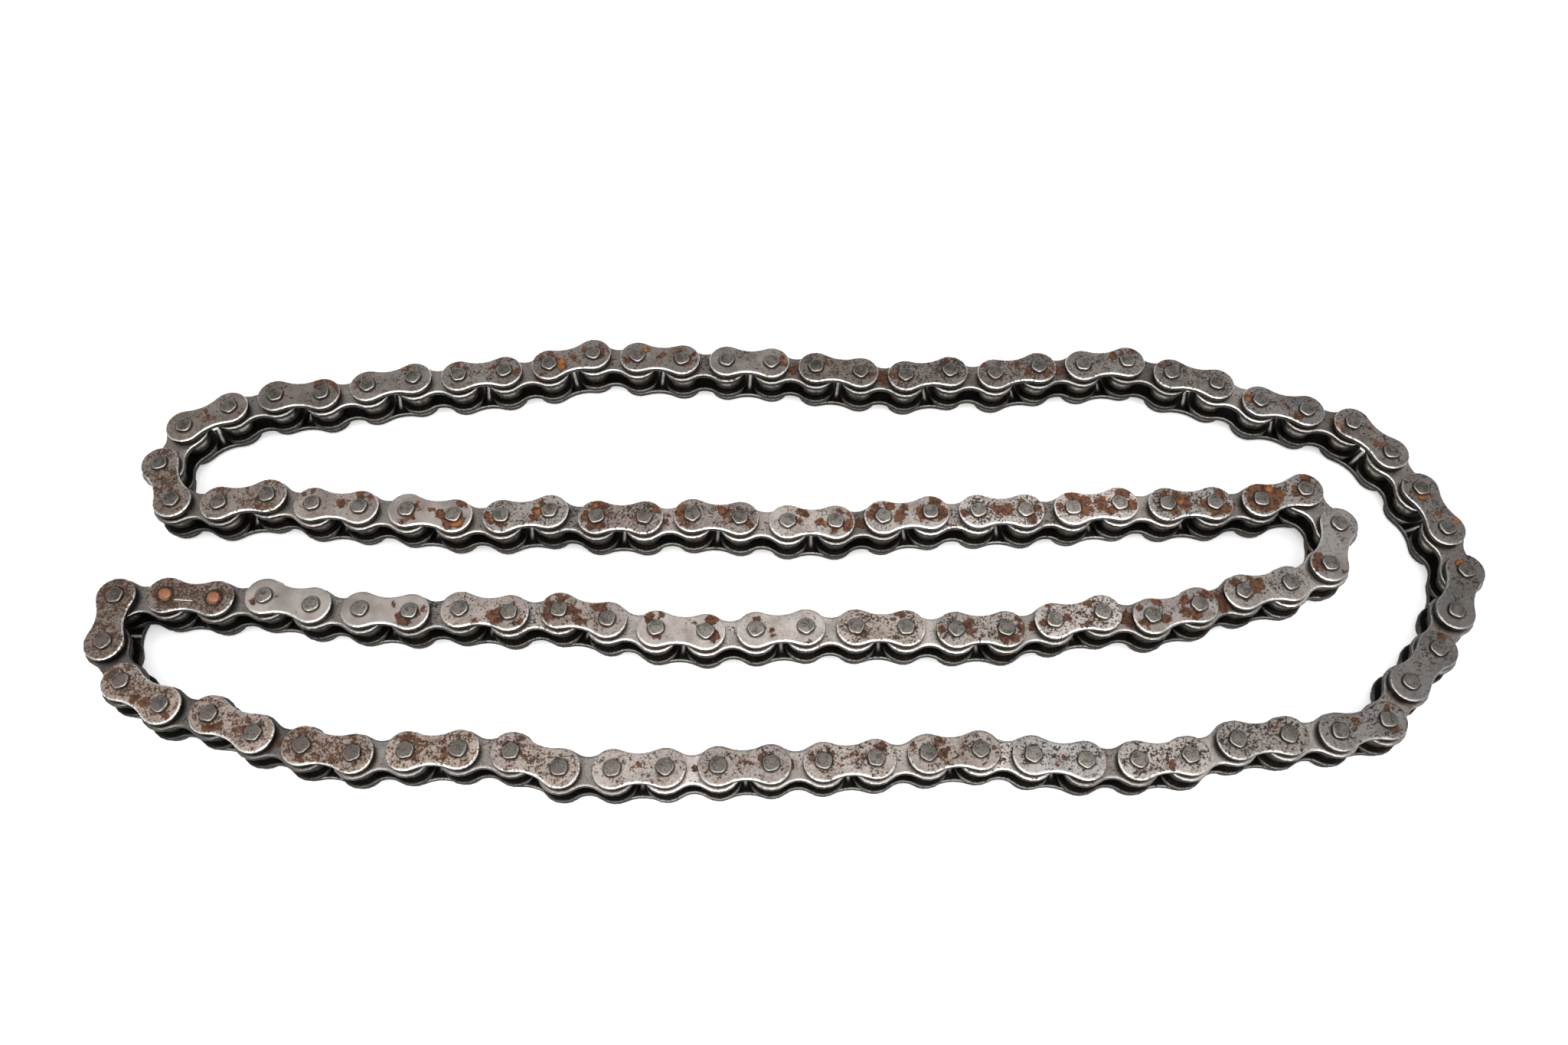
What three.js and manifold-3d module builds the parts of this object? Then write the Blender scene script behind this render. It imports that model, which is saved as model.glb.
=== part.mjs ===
// An endless motorcycle roller chain, 5/8 inch pitch, lying on its side in loose folds.
// Millimetres, +Z up. The chain rests on the lower rivet heads of its pins, at z = 0.
// An outer link (two plates riveted onto two pins) and the inner link that turns on its
// second pin (two plates, two bushes, two rollers) are one closed body, a link pair.
// The far end of each inner link is drilled, and the next pair's first pin passes through it.

import * as THREE from "three";
import { mergeVertices } from "three/addons/utils/BufferGeometryUtils.js";
import Module from "manifold-3d";

const wasm = await Module();
wasm.setup();

// Driving dimensions of the chain.
const PITCH = 15.875;
const LINK_PAIRS = 57;
const PLATE_THICKNESS = 2.0;
const SEAL_GAP = 0.9;
const INNER_WIDTH = 6.35;
const HEAD_HEIGHT = 0.95;
const OUTER_END_RADIUS = 6.35;
const OUTER_WAIST = 4.65;
const INNER_END_RADIUS = 7.2;
const INNER_WAIST = 4.6;
const PIN_RADIUS = 2.6;
const PIN_CLEARANCE = 0.35;
const ROLLER_RADIUS = 5.08;

// How finely round shapes are faceted.
const PIN_SIDES = 4;
const ROLLER_SIDES = 6;
const END_POINTS = 4;
const END_SPREAD = THREE.MathUtils.degToRad(80);

// Levels, from the surface that the chain lies on.
const LOWER_OUTER = HEAD_HEIGHT;
const LOWER_INNER = LOWER_OUTER + PLATE_THICKNESS + SEAL_GAP;
const UPPER_INNER = LOWER_INNER + PLATE_THICKNESS + INNER_WIDTH;
const UPPER_OUTER = UPPER_INNER + PLATE_THICKNESS + SEAL_GAP;
const FULL_HEIGHT = UPPER_OUTER + PLATE_THICKNESS + HEAD_HEIGHT;

// The line that the pins follow, walked clockwise from the far left corner.
const ROUTE = [
  [-206, 36], [-192, 44], [-177, 49], [-161, 50], [-130, 57], [-115, 58], [-84, 63], [-68, 68],
  [-53, 67], [-37, 66], [-5, 65], [42, 60], [57, 62], [73, 61], [89, 64], [104, 65], [120, 67],
  [136, 62], [151, 58], [165, 51], [196, 42], [207, 30], [214, 16], [219, 2], [222, -14],
  [216, -28], [207, -42], [196, -53], [186, -66], [171, -70], [139, -73], [124, -78], [92, -80],
  [61, -77], [29, -80], [-3, -82], [-50, -84], [-66, -84], [-81, -79], [-113, -79], [-129, -80],
  [-160, -74], [-175, -68], [-191, -65], [-204, -58], [-213, -45], [-214, -29], [-198, -28],
  [-182, -29], [-166, -28], [-150, -31], [-118, -33], [-103, -32], [-87, -33], [-71, -32],
  [-56, -35], [-40, -38], [-24, -39], [8, -37], [39, -37], [71, -37], [102, -31], [118, -32],
  [133, -28], [149, -23], [164, -20], [178, -13], [184, 2], [175, 15], [160, 11], [128, 9],
  [112, 9], [96, 7], [80, 6], [49, 5], [17, 1], [1, 1], [-30, 3], [-46, 2], [-62, 2], [-78, 4],
  [-93, 2], [-109, 2], [-125, 4], [-157, 6], [-173, 9], [-188, 6], [-204, 7], [-211, 22],
];

// The joining link closes the loop; it sits in the near left corner.
const JOINING_PAIR = 32;

// Bare and rusted steel, and the stretches of pairs where rust covers the plates most.
const STEEL = new THREE.Color(0x8d8780);
const RUST = new THREE.Color(0x6d4a35);
const RUSTED_STRETCHES = [
  { first: 3, last: 16, rust: 0.35 },
  { first: 40, last: 55, rust: 0.6 },
];

// Radius of the corners of a faceted round whose area equals that of the true round.
function cornerRadius(radius, step) {
  return radius * Math.sqrt(step / Math.sin(step));
}

// A regular polygon standing for a circle, its first side's middle turned to an angle.
function roundOutline(centre, radius, sides, turn) {
  const step = (2 * Math.PI) / sides;
  const corner = cornerRadius(radius, step);
  const points = [];
  for (let i = 0; i < sides; i += 1) {
    const angle = turn + (i + 0.5) * step;
    points.push(new THREE.Vector2(corner * Math.cos(angle), corner * Math.sin(angle)).add(centre));
  }
  return points;
}

// The waisted outline of a link plate that runs from one pin to the next at a heading.
function plateOutline(start, heading, endRadius, waist) {
  const step = (2 * END_SPREAD) / (END_POINTS - 1);
  const corner = cornerRadius(endRadius, step);
  const points = [];
  for (const end of [1, -1]) {
    for (let i = 0; i < END_POINTS; i += 1) {
      const angle = -END_SPREAD + i * step;
      const along = PITCH / 2 + end * (PITCH / 2 + corner * Math.cos(angle));
      points.push(new THREE.Vector2(along, end * corner * Math.sin(angle)));
    }
    points.push(new THREE.Vector2(PITCH / 2, end * waist));
  }
  const origin = new THREE.Vector2();
  return points.map((point) => point.rotateAround(origin, heading).add(start));
}

// A solid prism of an outline between two levels.
function prism(outline, bottom, top) {
  const shape = new THREE.Shape(outline);
  const raw = new THREE.ExtrudeGeometry(shape, { depth: top - bottom, bevelEnabled: false });
  raw.deleteAttribute("normal");
  raw.deleteAttribute("uv");
  raw.translate(0, 0, bottom);
  const merged = mergeVertices(raw);
  return new wasm.Manifold(new wasm.Mesh({
    numProp: 3,
    vertProperties: merged.attributes.position.array,
    triVerts: Uint32Array.from(merged.index.array),
  }));
}

// A three.js geometry of a finished solid.
function toGeometry(solid) {
  const { vertProperties, triVerts } = solid.getMesh();
  const geometry = new THREE.BufferGeometry();
  geometry.setAttribute("position", new THREE.BufferAttribute(vertProperties, 3));
  geometry.setIndex(new THREE.BufferAttribute(triVerts, 1));
  geometry.computeVertexNormals();
  return geometry;
}

// Both plates of a link, one at each of two levels.
function platePair(outline, lowerLevel, upperLevel) {
  const lower = prism(outline, lowerLevel, lowerLevel + PLATE_THICKNESS);
  const upper = prism(outline, upperLevel, upperLevel + PLATE_THICKNESS);
  return lower.add(upper);
}

// A roller on its bush, let into the inner plates by half their thickness.
function roller(centre, heading) {
  const outline = roundOutline(centre, ROLLER_RADIUS, ROLLER_SIDES, heading);
  const bottom = LOWER_INNER + PLATE_THICKNESS / 2;
  return prism(outline, bottom, UPPER_INNER + PLATE_THICKNESS / 2);
}

// A pin riveted at both ends.
function pin(centre, heading) {
  return prism(roundOutline(centre, PIN_RADIUS, PIN_SIDES, heading), 0, FULL_HEIGHT);
}

// One outer link and the inner link after it. The first pin is at the origin and the outer
// link runs along +X. The headings are those of the inner link and of the next outer link.
function linkPair(innerHeading, nextHeading) {
  const firstPin = new THREE.Vector2(0, 0);
  const secondPin = new THREE.Vector2(PITCH, 0);
  const reach = new THREE.Vector2(PITCH, 0).rotateAround(firstPin, innerHeading);
  const farEnd = secondPin.clone().add(reach);
  const outerOutline = plateOutline(firstPin, 0, OUTER_END_RADIUS, OUTER_WAIST);
  const innerOutline = plateOutline(secondPin, innerHeading, INNER_END_RADIUS, INNER_WAIST);
  const bore = roundOutline(farEnd, PIN_RADIUS + PIN_CLEARANCE, PIN_SIDES, nextHeading);
  const innerLink = platePair(innerOutline, LOWER_INNER, UPPER_INNER)
    .add(roller(secondPin, innerHeading))
    .add(roller(farEnd, innerHeading))
    .subtract(prism(bore, 0, FULL_HEIGHT));
  return platePair(outerOutline, LOWER_OUTER, UPPER_OUTER)
    .add(pin(firstPin, 0))
    .add(pin(secondPin, 0))
    .add(innerLink);
}

// The route as a closed polyline, fine enough to step a chord along it.
function routeLine() {
  const knots = ROUTE.map(([x, y]) => new THREE.Vector3(x, y, 0));
  const curve = new THREE.CatmullRomCurve3(knots, true, "centripetal");
  const samplesPerKnot = 60;
  return curve.getPoints(ROUTE.length * samplesPerKnot);
}

// Steps chords of one length along the closed line. Returns the stops and the laps made.
function stepAlong(line, chord, count) {
  const stops = [line[0].clone()];
  const pieces = line.length - 1;
  let piece = 0;
  let share = 0;
  for (let i = 0; i < count; i += 1) {
    const from = stops[i];
    while (line[(piece % pieces) + 1].distanceTo(from) < chord) {
      piece += 1;
      share = 0;
    }
    const start = line[piece % pieces];
    const end = line[(piece % pieces) + 1];
    let low = share;
    let high = 1;
    for (let halving = 0; halving < 40; halving += 1) {
      const middle = (low + high) / 2;
      if (start.clone().lerp(end, middle).distanceTo(from) < chord) low = middle;
      else high = middle;
    }
    share = high;
    stops.push(start.clone().lerp(end, share));
  }
  return { stops, laps: (piece + share) / pieces };
}

// Finds the chord that closes the loop in a whole number of pitches, then scales the route
// so that this chord is the pitch.
function pinPlaces() {
  const line = routeLine();
  const count = 2 * LINK_PAIRS;
  let low = 0.95 * PITCH;
  let high = 1.05 * PITCH;
  for (let halving = 0; halving < 40; halving += 1) {
    const chord = (low + high) / 2;
    if (stepAlong(line, chord, count).laps < 1) low = chord;
    else high = chord;
  }
  const { stops } = stepAlong(line, high, count);
  return stops.slice(0, count).map((stop) => stop.multiplyScalar(PITCH / high));
}

// The heading from one pin to another.
function heading(from, to) {
  return Math.atan2(to.y - from.y, to.x - from.x);
}

function steelMaterial(pair) {
  const stretch = RUSTED_STRETCHES.find(({ first, last }) => pair >= first && pair <= last);
  const rust = stretch ? stretch.rust : 0;
  return new THREE.MeshStandardMaterial({
    color: STEEL.clone().lerp(RUST, rust),
    roughness: 0.4 + 0.3 * rust,
    metalness: 0.9 - 0.5 * rust,
  });
}

function pairName(pair) {
  const number = String(pair).padStart(2, "0");
  return pair === JOINING_PAIR ? `joining_link_pair_${number}` : `link_pair_${number}`;
}

const chain = new THREE.Group();
const pins = pinPlaces();
for (let pair = 1; pair <= LINK_PAIRS; pair += 1) {
  const first = 2 * (pair - 1);
  const [a, b, c, d] = [0, 1, 2, 3].map((ahead) => pins[(first + ahead) % pins.length]);
  const outerHeading = heading(a, b);
  const solid = linkPair(heading(b, c) - outerHeading, heading(c, d) - outerHeading);
  const mesh = new THREE.Mesh(toGeometry(solid), steelMaterial(pair));
  mesh.name = pairName(pair);
  mesh.position.copy(a);
  mesh.rotation.z = outerHeading;
  chain.add(mesh);
}

// The origin is under the middle of the folded chain.
const middle = new THREE.Box3().setFromObject(chain, true).getCenter(new THREE.Vector3());
chain.position.set(-middle.x, -middle.y, 0);

const group = new THREE.Group();
group.add(chain);

export default group;
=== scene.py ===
"""An endless motorcycle roller chain, worn and rusted, lying on its side in loose folds. Metres."""

import math
import random

import bmesh
import bpy
from mathutils import Matrix, Vector


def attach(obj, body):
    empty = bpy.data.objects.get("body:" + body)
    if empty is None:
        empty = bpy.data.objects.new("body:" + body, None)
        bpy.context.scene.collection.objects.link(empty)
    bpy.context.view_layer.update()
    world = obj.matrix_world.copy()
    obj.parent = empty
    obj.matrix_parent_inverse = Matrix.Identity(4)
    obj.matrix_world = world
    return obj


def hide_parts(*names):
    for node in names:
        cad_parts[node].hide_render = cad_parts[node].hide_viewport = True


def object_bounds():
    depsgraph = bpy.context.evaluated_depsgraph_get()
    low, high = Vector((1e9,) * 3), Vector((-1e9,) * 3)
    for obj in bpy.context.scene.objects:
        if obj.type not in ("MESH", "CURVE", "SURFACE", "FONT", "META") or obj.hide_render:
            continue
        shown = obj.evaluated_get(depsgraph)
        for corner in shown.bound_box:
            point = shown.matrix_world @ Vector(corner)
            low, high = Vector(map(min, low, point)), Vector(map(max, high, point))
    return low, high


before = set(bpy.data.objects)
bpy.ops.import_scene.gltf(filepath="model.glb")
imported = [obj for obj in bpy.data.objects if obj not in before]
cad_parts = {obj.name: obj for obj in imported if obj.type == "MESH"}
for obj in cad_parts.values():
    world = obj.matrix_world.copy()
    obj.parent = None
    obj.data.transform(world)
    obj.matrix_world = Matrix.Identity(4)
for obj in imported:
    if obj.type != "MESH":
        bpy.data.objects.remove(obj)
cad_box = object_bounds()

# CAMERA, FLOOR AND LIGHT
# The chain lies on a white acrylic table that is lit a little from below, so that hardly any
# shadow is left on it. A wide softbox hangs over it, a second one stands in front of it, low
# down, and the room's white walls fill in from all sides.

CAMERA_ELEVATION = math.radians(61.45)
CAMERA_ROLL = math.radians(0.55)
CAMERA_LENS = 30.06
SENSOR_WIDTH = 36
CAMERA_DISTANCE = 0.4316
CAMERA_CLIP = 0.01
AIM_OFFSET = Vector((-0.00435, 0.0079, 0))
ROOM_WHITE = (0.97, 0.98, 1.0, 1)
ROOM_GLOW = 0.55

chain_middle = (cad_box[0] + cad_box[1]) / 2
chain_top = cad_box[1].z
table_level = cad_box[0].z

camera_data = bpy.data.cameras.new("camera")
camera_data.lens = CAMERA_LENS
camera_data.sensor_width = SENSOR_WIDTH
camera_data.clip_start = CAMERA_CLIP
camera = bpy.data.objects.new("camera", camera_data)
bpy.context.scene.collection.objects.link(camera)
camera_tilt = Matrix.Rotation(math.pi / 2 - CAMERA_ELEVATION, 4, "X")
camera_turn = camera_tilt @ Matrix.Rotation(CAMERA_ROLL, 4, "Z")
aim = Vector((chain_middle.x, chain_middle.y, chain_top)) + AIM_OFFSET
stand = aim + camera_turn @ Vector((0, 0, CAMERA_DISTANCE))
camera.matrix_world = Matrix.Translation(stand) @ camera_turn
bpy.context.scene.camera = camera


def softbox(name, place, target, width, height, power):
    """A rectangular area light that faces a target."""
    light = bpy.data.lights.new(name, "AREA")
    light.shape = "RECTANGLE"
    light.size = width
    light.size_y = height
    light.energy = power
    lamp = bpy.data.objects.new(name, light)
    bpy.context.scene.collection.objects.link(lamp)
    facing = (Vector(target) - Vector(place)).to_track_quat("-Z", "Y")
    lamp.matrix_world = Matrix.Translation(place) @ facing.to_matrix().to_4x4()


softbox("overhead softbox", place=(0, -0.2, 0.95), target=(0, -0.15, 0),
        width=1.5, height=0.95, power=12)
softbox("front softbox", place=(0, -1.15, 0.5), target=(0, 0, 0), width=1.8, height=0.5, power=10)

world = bpy.data.worlds.new("white room")
bpy.context.scene.world = world
world.use_nodes = True
background = world.node_tree.nodes["Background"]
background.inputs["Color"].default_value = ROOM_WHITE
background.inputs["Strength"].default_value = ROOM_GLOW
bpy.context.scene.view_settings.view_transform = "Standard"


class Shade:
    """One socket of a finish. Sums on shades add Math nodes, and node adds any other node."""

    def __init__(self, tree, socket=None):
        self.tree = tree
        self.socket = socket

    def node(self, kind, settings, sockets, output=0):
        """Adds a node: its settings first, then the values or links of its sockets."""
        made = self.tree.nodes.new(kind)
        for name, setting in settings.items():
            setattr(made, name, setting)
        for key, value in sockets.items():
            if isinstance(value, Shade):
                self.tree.links.new(value.socket, made.inputs[key])
            else:
                made.inputs[key].default_value = value
        return Shade(self.tree, made.outputs[output] if made.outputs else None)

    def math(self, operation, first, second=0.0):
        """A Math node of one or two values or shades."""
        return self.node("ShaderNodeMath", {"operation": operation}, {0: first, 1: second})

    def __add__(self, other):
        return self.math("ADD", self, other)

    __radd__ = __add__

    def __sub__(self, other):
        return self.math("SUBTRACT", self, other)

    def __rsub__(self, other):
        return self.math("SUBTRACT", other, self)

    def __mul__(self, other):
        return self.math("MULTIPLY", self, other)

    __rmul__ = __mul__

    def __truediv__(self, other):
        return self.math("DIVIDE", self, other)

    def __pow__(self, other):
        return self.math("POWER", self, other)

    def __abs__(self):
        return self.math("ABSOLUTE", self)

    def rise(self, low, high):
        """0 below low, 1 above high, and a smooth step between."""
        return self.node("ShaderNodeMapRange", {"interpolation_type": "SMOOTHSTEP"},
                         {"Value": self, "From Min": low, "From Max": high})

    def mix(self, below, above):
        """One colour where this shade is 0, another where it is 1."""
        return self.node("ShaderNodeMix", {"data_type": "RGBA"},
                         {0: self, 6: below, 7: above}, output=2)

    def times(self, factor):
        """A colour made lighter or darker by a factor."""
        grey = self.node("ShaderNodeCombineXYZ", {}, {0: factor, 1: factor, 2: factor})
        return self.node("ShaderNodeMix", {"data_type": "RGBA", "blend_type": "MULTIPLY"},
                         {0: 1.0, 6: self, 7: grey}, output=2)

    def parts(self):
        """The three numbers of a vector."""
        split = self.node("ShaderNodeSeparateXYZ", {}, {0: self}).socket.node
        return [Shade(self.tree, socket) for socket in split.outputs]

    def attribute(self, name):
        """What lay_link has noted on the corners under a name."""
        return self.node("ShaderNodeAttribute", {"attribute_name": name}, {}, output="Vector")

    def place(self):
        """Where a point lies, in metres."""
        return self.node("ShaderNodeTexCoord", {}, {}, output="Object")

    def clouds(self, size, detail=3.0, roughness=0.55):
        """Noise whose lumps are about a size across, in metres."""
        return self.node("ShaderNodeTexNoise", {}, {
            "Vector": self.place(), "Scale": 1 / size, "Detail": detail, "Roughness": roughness,
        })


def new_finish(name):
    """An empty material, as a shade that nodes can be added to."""
    material = bpy.data.materials.new(name)
    material.use_nodes = True
    material.node_tree.nodes.clear()
    return material, Shade(material.node_tree)


def close_finish(sheet, colour, roughness, metallic, height=None, relief=0.0, glow=0.0, sheen=0.5,
                 edge_sheen=1.0):
    """Ends a finish in a Principled shader, with an optional relief of a depth in metres."""
    sockets = {"Base Color": colour, "Roughness": roughness, "Metallic": metallic,
               "Emission Color": (1, 1, 1, 1), "Emission Strength": glow,
               "Specular IOR Level": sheen, "Specular Tint": (edge_sheen,) * 3 + (1,)}
    if height is not None:
        sockets["Normal"] = sheet.node("ShaderNodeBump", {}, {
            "Strength": 1.0, "Distance": relief, "Height": height,
        })
    shader = sheet.node("ShaderNodeBsdfPrincipled", {}, sockets)
    sheet.node("ShaderNodeOutputMaterial", {}, {"Surface": shader})


TABLE_SIZE = 6.0
TABLE_WHITE = (0.93, 0.93, 0.93, 1)
TABLE_SHADE = (0.90, 0.90, 0.90, 1)
TABLE_MOTTLE_SIZE = 0.05
TABLE_ROUGHNESS = 0.9
TABLE_GLOW = 0.30

table_shape = bmesh.new()
bmesh.ops.create_grid(table_shape, x_segments=1, y_segments=1, size=TABLE_SIZE / 2,
                      matrix=Matrix.Translation((0, 0, table_level)))
table_mesh = bpy.data.meshes.new("white_table")
table_shape.to_mesh(table_mesh)
table_shape.free()
table_top, table_sheet = new_finish("white acrylic table")
table_colour = table_sheet.clouds(TABLE_MOTTLE_SIZE).mix(TABLE_WHITE, TABLE_SHADE)
close_finish(table_sheet, table_colour, TABLE_ROUGHNESS, 0.0, glow=TABLE_GLOW)
table_mesh.materials.append(table_top)
table = bpy.data.objects.new("white_table", table_mesh)
bpy.context.scene.collection.objects.link(table)

# THE LIE OF THE CHAIN
# 57 outer links and 57 inner links close into a loop on 114 pins. Each CAD link pair is an
# outer link and the inner link that turns on its second pin, so the rivet heads of the pairs,
# taken in order, give every pin.

HEAD_CORNERS = 4
TOUCHING = 1e-6


def rivet_heads(node):
    """The middles of a link pair's two upper rivet heads, from the corners of their flat tops."""
    solid = bmesh.new()
    solid.from_mesh(node.data)
    bmesh.ops.remove_doubles(solid, verts=solid.verts, dist=TOUCHING)
    level = max(corner.co.z for corner in solid.verts)
    corners = [corner.co.xy.to_3d() for corner in solid.verts if level - corner.co.z < TOUCHING]
    solid.free()
    start = corners[0]
    corners.sort(key=lambda corner: (corner - start).length)
    heads = corners[:HEAD_CORNERS], corners[HEAD_CORNERS:]
    return [sum(head, Vector()) / HEAD_CORNERS for head in heads]


def gap(place, others):
    """How far a place is from the nearest of some others."""
    return min((place - other).length for other in others)


pairs = sorted(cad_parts, key=lambda name: name[-2:])
heads = [rivet_heads(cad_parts[name]) for name in pairs]
pins = []
for here, after in zip(heads, heads[1:] + heads[:1]):
    pins += sorted(here, key=lambda head: -gap(head, after))
HALF_PITCH = (pins[1] - pins[0]).length / 2

# OUTER LINKS
# Two waisted plates, stamped from 2 mm spring steel with rolled edges, pressed onto two pins
# whose ends stand 1 mm proud and are staked by a punch of four or five points. Link 32 joins
# the loop: its soft rivets keep a coppery plating. Worn grey steel shows through pits and rust.

PLATE_THICKNESS = 0.0020
HEAD_HEIGHT = 0.00095
OUTER_END_RADIUS = 0.00635
OUTER_WAIST = 0.00465
PLATE_EDGE_ROUND = 0.0005
PLATE_EDGE_STEPS = 2
PLATE_MARGIN = 0.0003
END_STEPS = 14
WAIST_STEPS = 5
PIN_STEPS = 20
# Rings of the rivet heads from foot to crown: height, radius and how far the punch spread it.
STAKED_RINGS = [
    (-0.0003, 0.00254, 0.0), (0.0001, 0.00257, 0.00006), (0.0005, 0.00263, 0.00018),
    (0.0008, 0.00252, 0.00016), (0.00091, 0.00234, 0.0001), (0.00095, 0.00206, 0.00002),
    (0.00086, 0.0, 0.0),
]
SOFT_RINGS = [
    (-0.0003, 0.00240, 0.0), (0.0003, 0.00244, 0.0), (0.0006, 0.00232, 0.00004),
    (0.0008, 0.00202, 0.00003), (0.0009, 0.00150, 0.0), (0.00095, 0.0, 0.0),
]
STAKED_DENTS = (4, 5)
SOFT_DENTS = 3
STAKING_SEED = 57
JOINING_LINK = 32

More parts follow.
